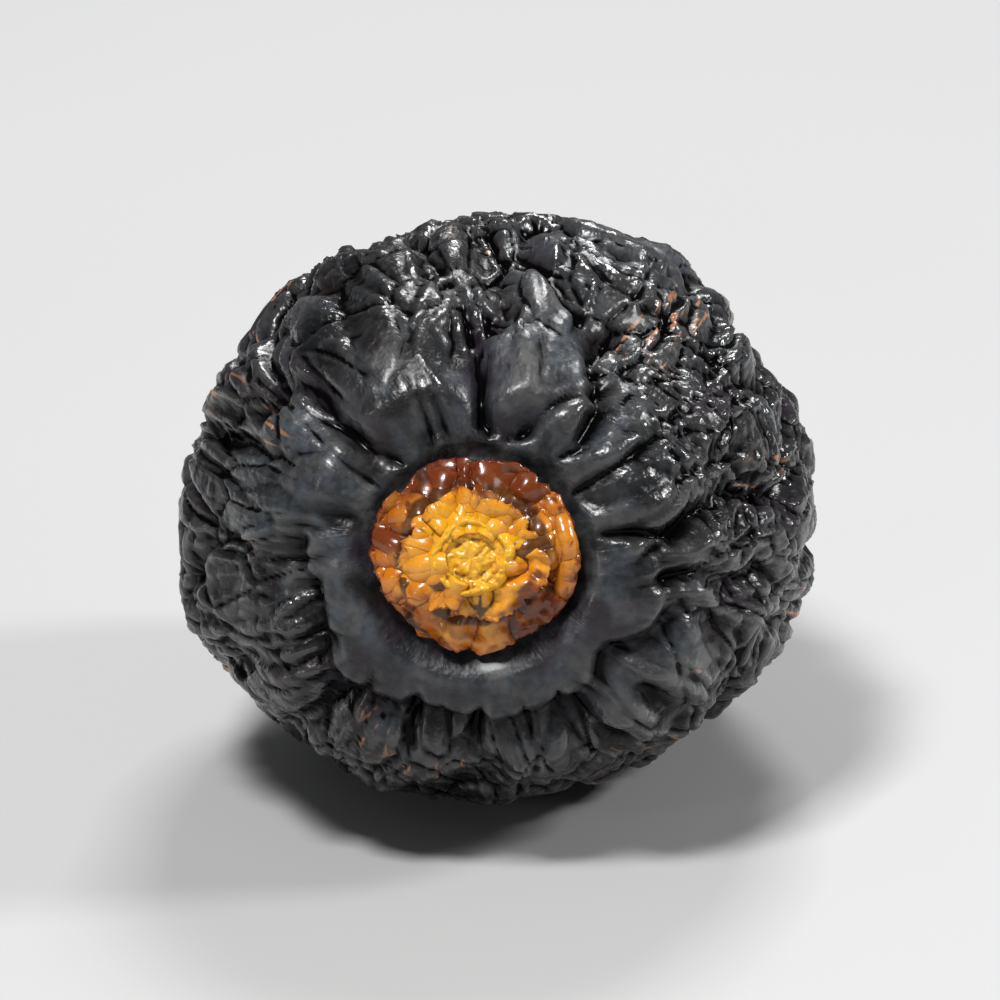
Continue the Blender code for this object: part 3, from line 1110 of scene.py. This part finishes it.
class NodeBoard:
    """A material's nodes, laid out by short calls."""

    def __init__(self, name: str) -> None:
        """Starts a material that has only its shader and its output."""
        self.material = bpy.data.materials.new(name)
        self.material.use_nodes = True
        self.tree = self.material.node_tree
        self.shader = self.tree.nodes["Principled BSDF"]

    def add(self, kind: str, settings: dict | None = None, **inputs) -> bpy.types.Node:
        """Adds a node.

        Args:
            kind: The node's type, without the word ShaderNode.
            settings: Values of the node itself, by name.
            inputs: Constant values of its sockets, by name, with _ for a space.

        Returns:
            The node.
        """
        node = self.tree.nodes.new("ShaderNode" + kind)
        for name, value in (settings or {}).items():
            setattr(node, name, value)
        for name, value in inputs.items():
            node.inputs[name.replace("_", " ")].default_value = value
        return node

    def link(self, source: Socket, target: Socket) -> None:
        """Joins two sockets."""
        self.tree.links.new(source, target)

    def attribute(self, name: str) -> bpy.types.Node:
        """Reads a value that the mesh carries."""
        return self.add("Attribute", {"attribute_type": "GEOMETRY", "attribute_name": name})

    def stretched(self, source: Socket, scale: tuple[float, float, float]) -> Socket:
        """Scales a place along each axis, so that a pattern laid out there is stretched."""
        mapping = self.add("Mapping", Scale=scale)
        self.link(source, mapping.inputs["Vector"])
        return mapping.outputs["Vector"]

    def noise(
        self, place: Socket, scale: float, detail: float = 2.0, distortion: float = 0.0
    ) -> Socket:
        """Soft noise at a place, from about 0 to 1."""
        node = self.add("TexNoise", Scale=scale, Detail=detail, Distortion=distortion)
        self.link(place, node.inputs["Vector"])
        return node.outputs["Fac"]

    def warped(self, place: Socket, scale: float, amount: float) -> Socket:
        """Shifts a place by soft noise, so that a pattern laid out there isn't straight."""
        shifts = self.add("TexNoise", Scale=scale, Detail=0.0)
        self.link(place, shifts.inputs["Vector"])
        moved = self.add("VectorMath", {"operation": "MULTIPLY_ADD"})
        self.link(shifts.outputs["Color"], moved.inputs[0])
        moved.inputs[1].default_value = (amount, amount, amount)
        self.link(place, moved.inputs[2])
        return moved.outputs["Vector"]

    def pebbles(self, place: Socket, scale: float) -> Socket:
        """Small round pebbles side by side: 1 on top of one, 0 where they meet."""
        node = self.add("TexVoronoi", Scale=scale)
        self.link(place, node.inputs["Vector"])
        return self.ramp(node.outputs["Distance"], 0.75, 0.0)

    def ramp(
        self, value: Socket, low: float, high: float, start: float = 0.0, end: float = 1.0
    ) -> Socket:
        """Turns a value's range low to high into start to end, smoothly, and holds it outside that."""
        node = self.add(
            "MapRange",
            {"interpolation_type": "SMOOTHSTEP"},
            From_Min=low,
            From_Max=high,
            To_Min=start,
            To_Max=end,
        )
        self.link(value, node.inputs["Value"])
        return node.outputs["Result"]

    def math(
        self, operation: str, first: Socket, second: Socket | float
    ) -> Socket:
        """A sum, product or other operation of two values."""
        node = self.add("Math", {"operation": operation})
        self.link(first, node.inputs[0])
        if isinstance(second, float):
            node.inputs[1].default_value = second
        else:
            self.link(second, node.inputs[1])
        return node.outputs[0]

    def mix(
        self, share: Socket, first: Socket | Color, second: Color
    ) -> Socket:
        """A colour between two, by share."""
        node = self.add("Mix", {"data_type": "RGBA"})
        self.link(share, node.inputs[0])
        if isinstance(first, tuple):
            node.inputs[6].default_value = first
        else:
            self.link(first, node.inputs[6])
        node.inputs[7].default_value = second
        return node.outputs[2]

    def raise_bumps(self, layers: list[tuple[Socket, float]]) -> None:
        """Roughens the surface by several layers of fine relief on top of each other.

        Args:
            layers: For each layer its height map and its depth in metres.
        """
        scaled = [self.math("MULTIPLY", height, depth / MM) for height, depth in layers]
        total = scaled[0]
        for height in scaled[1:]:
            total = self.math("ADD", total, height)
        node = self.add("Bump", Strength=1.0, Distance=MM)
        self.link(total, node.inputs["Height"])
        self.link(node.outputs["Normal"], self.shader.inputs["Normal"])


@dataclass(frozen=True)
class SkinFinish:
    """Near-black dried skin: satin, with bloom in patches that is partly painted sheen, brown and purple
    tints, copper streaks, painted highlights on its crests and painted shade in its creases.
    """

    black: Color = (0.0030, 0.0031, 0.0037, 1.0)
    brown: Color = (0.0080, 0.0050, 0.0042, 1.0)
    purple: Color = (0.0150, 0.0095, 0.0150, 1.0)
    # Bluish pale bloom, partly a painted sky reflection.
    bloom_and_sheen: Color = (0.0640, 0.0770, 0.0920, 1.0)
    dull_bloom_and_sheen: Color = (0.0740, 0.0690, 0.0640, 1.0)
    # Painted highlight colour for crests.
    crest_highlight: Color = (0.0360, 0.0330, 0.0310, 1.0)
    copper: Color = (0.33, 0.140, 0.060, 1.0)
    # Painted shade colour for creases.
    crease_shade: Color = (0.0006, 0.0006, 0.0007, 1.0)
    coat: float = 0.14
    coat_roughness: float = 0.16

    def material(self) -> bpy.types.Material:
        """Builds the material.

        Returns:
            The material, which reads the values and the place in the pattern that the fruit's mesh carries.
        """
        board = NodeBoard("date_skin")
        pattern = board.attribute("pattern").outputs["Vector"]
        names = ("crest", "level", "bloom_and_sheen", "calm", "netted", "tone")
        crest, level, patches, calm, netted, tone = (board.attribute(name).outputs["Fac"] for name in names)
        place = board.stretched(board.add("TexCoord").outputs["Object"], (1.0 / MM, 1.0 / MM, 1.0 / MM))
        clouds = board.noise(pattern, 0.55, 2.0)
        color = board.mix(board.ramp(clouds, 0.37, 0.68), self.black, self.brown)
        tint = board.noise(pattern, 0.30, 1.0)
        color = board.mix(board.ramp(tint, 0.52, 0.66, 0.0, 0.8), color, self.purple)
        # Pale bloom, partly painted sheen: on raised places, none in the valleys.
        bloom_and_sheen = board.math("MULTIPLY", patches, board.ramp(level, -0.9, 0.7))
        bloom_and_sheen = board.math("MULTIPLY", bloom_and_sheen, board.ramp(board.noise(place, 2.6, 3.0), 0.30, 0.70, 0.35, 1.0))
        bloom_and_sheen = board.math("MULTIPLY", bloom_and_sheen, board.ramp(tone, 0.25, 0.75, 0.35, 1.0))
        color = board.mix(board.math("MULTIPLY", bloom_and_sheen, 0.85), color, self.bloom_and_sheen)
        dull = board.ramp(board.noise(place, 0.9, 1.0), 0.44, 0.60, 0.0, 0.85)
        color = board.mix(board.math("MULTIPLY", bloom_and_sheen, dull), color, self.dull_bloom_and_sheen)
        # Painted highlight: crests lightened.
        color = board.mix(board.ramp(crest, 0.4, 2.2, 0.0, 0.6), color, self.crest_highlight)
        color = board.mix(self._streaks(board, pattern, crest, calm), color, self.copper)
        # Painted shade: creases darkened towards black.
        color = board.mix(board.ramp(crest, -0.3, -1.8, 0.0, 0.95), color, self.crease_shade)
        board.link(color, board.shader.inputs["Base Color"])
        rough = board.ramp(clouds, 0.25, 0.75, 0.34, 0.48)
        rough = board.math("ADD", rough, board.math("MULTIPLY", bloom_and_sheen, 0.15))
        rough = board.math("ADD", rough, board.ramp(crest, -0.5, -2.5, 0.0, 0.18))
        rough = board.math("SUBTRACT", rough, board.ramp(crest, 0.2, 1.6, 0.0, 0.14))
        rough = board.math("SUBTRACT", rough, board.math("MULTIPLY", netted, 0.10))
        board.link(rough, board.shader.inputs["Roughness"])
        shine = board.ramp(level, -1.0, 0.8, 0.04, 0.40)
        shine = board.math("ADD", shine, board.ramp(crest, 0.1, 1.6, 0.0, 0.35))
        shine = board.math("MULTIPLY", shine, board.ramp(crest, -1.8, -0.2, 0.05, 1.0))
        board.link(shine, board.shader.inputs["Specular IOR Level"])
        board.shader.inputs["Coat Weight"].default_value = self.coat
        board.shader.inputs["Coat Roughness"].default_value = self.coat_roughness
        threads = board.noise(board.stretched(board.warped(pattern, 0.8, 0.9), (0.45, 2.6, 2.6)), 1.5, 2.0)
        threads = board.math("MULTIPLY", threads, calm)
        net = board.math("MULTIPLY", board.pebbles(place, 2.3), netted)
        grain = board.noise(place, 4.5, 1.0)
        board.raise_bumps([(threads, 0.050 * MM), (net, 0.060 * MM), (grain, 0.038 * MM)])
        return board.material

    def _streaks(
        self,
        board: NodeBoard,
        pattern: Socket,
        crest: Socket,
        calm: Socket,
    ) -> Socket:
        """Where the thin skin shows copper: short streaks along the folds, in clusters, on crests."""
        threads = board.noise(board.stretched(board.warped(pattern, 0.7, 0.8), (0.30, 2.6, 2.6)), 1.2, 1.5)
        clusters = board.noise(pattern, 0.19, 1.0)
        thread = board.math("MULTIPLY", board.ramp(threads, 0.60, 0.66), board.ramp(clusters, 0.53, 0.60))
        thread = board.math("MULTIPLY", thread, board.ramp(calm, 0.5, 0.95))
        return board.math("MULTIPLY", thread, board.ramp(crest, -0.6, 0.6))


@dataclass(frozen=True)
class CalyxFinish:
    """Dry amber scale: yellow by the scar, orange further out, red-brown where scorched, and glossy, with
    painted shade in its crevices and painted highlights on its crests and lip.
    """

    name: str
    inner: Color
    outer: Color
    rim: Color
    # Cream colour of painted highlights on crests and the lip; on the scar it is mixed into its middle.
    pale: Color = (0.78, 0.39, 0.040, 1.0)
    # Painted shade colour for crevices, gaps and dimples.
    crevice_shade: Color = (0.045, 0.0110, 0.0030, 1.0)
    scorched: Color = (0.120, 0.0165, 0.0035, 1.0)
    clear: float = 0.15
    gloss: float = 0.40
    coat: float = 0.36
    coat_roughness: float = 0.09

    def material(self) -> bpy.types.Material:
        """Builds the material.

        Returns:
            The material, which reads the values that the calyx's meshes carry.
        """
        board = NodeBoard(self.name)
        place = board.add("TexCoord").outputs["Object"]
        rim, edge, scorch, crevice_shade, pale = (
            board.attribute(name).outputs["Fac"] for name in ("rim", "edge", "scorch", "crevice_shade", "pale")
        )
        cloud = board.noise(place, 900.0, 4.0, 0.5)
        veins = board.noise(place, 1500.0, 3.0, 1.2)
        mottle = board.math("ADD", rim, board.ramp(cloud, 0.25, 0.75, -0.35, 0.35))
        color = board.mix(board.ramp(mottle, 0.35, 0.95), self.inner, self.outer)
        # Painted highlight: cream on the scales' crests and lip, and the same colour in the scar's middle.
        light = board.math("MULTIPLY", pale, board.ramp(cloud, 0.35, 0.65, 0.2, 1.0))
        color = board.mix(board.math("MULTIPLY", light, 0.6), color, self.pale)
        darker = board.math("ADD", edge, board.ramp(veins, 0.50, 0.72, -0.35, 0.55))
        color = board.mix(board.ramp(darker, 0.25, 1.0, 0.0, 0.85), color, self.rim)
        burnt = board.math("ADD", scorch, board.ramp(cloud, 0.3, 0.7, -0.20, 0.20))
        color = board.mix(board.ramp(burnt, 0.20, 0.90, 0.0, 0.92), color, self.scorched)
        # Painted shade: dark brown in crevices, gaps and dimples.
        sunk = board.math("ADD", crevice_shade, board.ramp(veins, 0.3, 0.7, -0.20, 0.20))
        color = board.mix(board.ramp(sunk, 0.25, 0.95, 0.0, 0.90), color, self.crevice_shade)
        board.link(color, board.shader.inputs["Base Color"])
        rough = board.ramp(board.noise(place, 2600.0, 2.0), 0.3, 0.7, 0.16, 0.38)
        board.link(rough, board.shader.inputs["Roughness"])
        board.shader.inputs["Specular IOR Level"].default_value = self.gloss
        board.shader.inputs["Subsurface Weight"].default_value = self.clear
        board.shader.inputs["Subsurface Radius"].default_value = (1.0, 0.35, 0.08)
        board.shader.inputs["Subsurface Scale"].default_value = 0.4 * MM
        board.shader.inputs["Coat Weight"].default_value = self.coat
        board.shader.inputs["Coat Roughness"].default_value = self.coat_roughness
        lumps = board.noise(place, 1100.0, 2.0)
        fibres = board.noise(place, 3200.0, 3.0)
        board.raise_bumps([(lumps, 0.036 * MM), (fibres, 0.010 * MM)])
        return board.material


@dataclass(frozen=True)
class FloorFinish:
    """Plain pale matte board."""

    color: Color = (0.47, 0.47, 0.467, 1.0)
    shade: Color = (0.45, 0.45, 0.447, 1.0)

    def material(self) -> bpy.types.Material:
        """Builds the material."""
        board = NodeBoard("pale_floor")
        place = board.add("TexCoord").outputs["Object"]
        color = board.mix(board.ramp(board.noise(place, 9.0, 2.0), 0.3, 0.7), self.color, self.shade)
        board.link(color, board.shader.inputs["Base Color"])
        board.shader.inputs["Roughness"].default_value = 0.65
        return board.material


@dataclass(frozen=True)
class Softbox:
    """One square lamp that faces the date."""

    name: str
    place: tuple[float, float, float]
    side: float
    power: float

    def build(self, target: Vector) -> None:
        """Hangs the lamp and turns it to the target."""
        lamp = bpy.data.lights.new(self.name, "AREA")
        lamp.size = self.side
        lamp.energy = self.power
        holder = bpy.data.objects.new(self.name, lamp)
        holder.location = self.place
        holder.rotation_euler = (target - Vector(self.place)).to_track_quat("-Z", "Y").to_euler()
        bpy.context.scene.collection.objects.link(holder)


@dataclass
class Studio:
    """The floor, the lamps and the camera."""

    azimuth: float = math.radians(94.0)
    elevation: float = math.radians(17.0)
    distance: float = 0.270
    lens: float = 290.0
    target: Vector = field(default_factory=lambda: Vector((0.0015, 0.0, 0.0096)))
    sky: Color = (0.90, 0.94, 1.0, 1.0)
    sky_strength: float = 0.12
    lamps: tuple[Softbox, ...] = (
        Softbox("key", (0.26, -0.12, 0.50), 0.12, 3.5),
        Softbox("side", (-0.04, 0.46, 0.30), 0.10, 1.7),
        Softbox("back", (-0.34, 0.04, 0.40), 0.14, 1.5),
        Softbox("low", (0.40, -0.44, 0.16), 0.06, 0.25),
    )

    def build(self) -> None:
        """Sets everything up round the date."""
        self._floor()
        for lamp in self.lamps:
            lamp.build(self.target)
        self._sky()
        self._camera()
        bpy.context.scene.view_settings.view_transform = "Standard"

    def _floor(self) -> None:
        """Lays the floor."""
        form = bmesh.new()
        bmesh.ops.create_grid(form, x_segments=4, y_segments=4, size=1.5)
        mesh = bpy.data.meshes.new("floor")
        form.to_mesh(mesh)
        form.free()
        mesh.materials.append(FloorFinish().material())
        floor = bpy.data.objects.new("floor", mesh)
        bpy.context.scene.collection.objects.link(floor)

    def _sky(self) -> None:
        """Fills the room with even light."""
        world = bpy.data.worlds.new("room")
        world.use_nodes = True
        background = world.node_tree.nodes["Background"]
        background.inputs["Color"].default_value = self.sky
        background.inputs["Strength"].default_value = self.sky_strength
        bpy.context.scene.world = world

    def _camera(self) -> None:
        """Puts the camera over the calyx end, looking down at it."""
        back = Vector(
            (
                math.sin(self.azimuth) * math.cos(self.elevation),
                -math.cos(self.azimuth) * math.cos(self.elevation),
                math.sin(self.elevation),
            )
        )
        lens = bpy.data.cameras.new("camera")
        lens.lens = self.lens
        lens.clip_start = 0.005
        camera = bpy.data.objects.new("camera", lens)
        camera.location = self.target + back * self.distance
        camera.rotation_euler = (-back).to_track_quat("-Z", "Y").to_euler()
        bpy.context.scene.collection.objects.link(camera)
        bpy.context.scene.camera = camera


def place_piece(piece: Piece, material: bpy.types.Material, node: str) -> None:
    """Dresses a piece and ties it to the frame.

    Args:
        piece: The finished object.
        material: Its material.
        node: The node that it stands for.
    """
    piece.data.materials.clear()
    piece.data.materials.append(material)
    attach(piece, "root")
    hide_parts(node)
    LOG.info("%s: %d faces", piece.name, len(piece.data.polygons))


def main() -> None:
    """Builds the date and its studio."""
    logging.basicConfig(level=logging.INFO, format="%(name)s: %(message)s")
    noise.seed_set(SHAPE_SEED)
    fruit = Fruit()
    place_piece(fruit.build(), SkinFinish().material(), "fruit")
    calyx = Calyx(relief=fruit.relief, slide=fruit.slide)
    petal_finish = CalyxFinish(
        "calyx_petal", (0.56, 0.165, 0.006, 1.0), (0.50, 0.135, 0.005, 1.0), (0.15, 0.026, 0.004, 1.0)
    )
    sepal_finish = CalyxFinish(
        "calyx_sepal", (0.80, 0.360, 0.008, 1.0), (0.66, 0.215, 0.006, 1.0), (0.22, 0.042, 0.005, 1.0)
    )
    scar_finish = CalyxFinish(
        "calyx_scar", (0.80, 0.430, 0.028, 1.0), (0.82, 0.400, 0.012, 1.0), (0.36, 0.130, 0.010, 1.0)
    )
    place_piece(calyx.build_whorl(Whorl.PETALS), petal_finish.material(), "calyx")
    place_piece(calyx.build_whorl(Whorl.SEPALS), sepal_finish.material(), "calyx")
    place_piece(calyx.build_scar(), scar_finish.material(), "calyx")
    Studio().build()


if __name__ == "__main__":
    main()
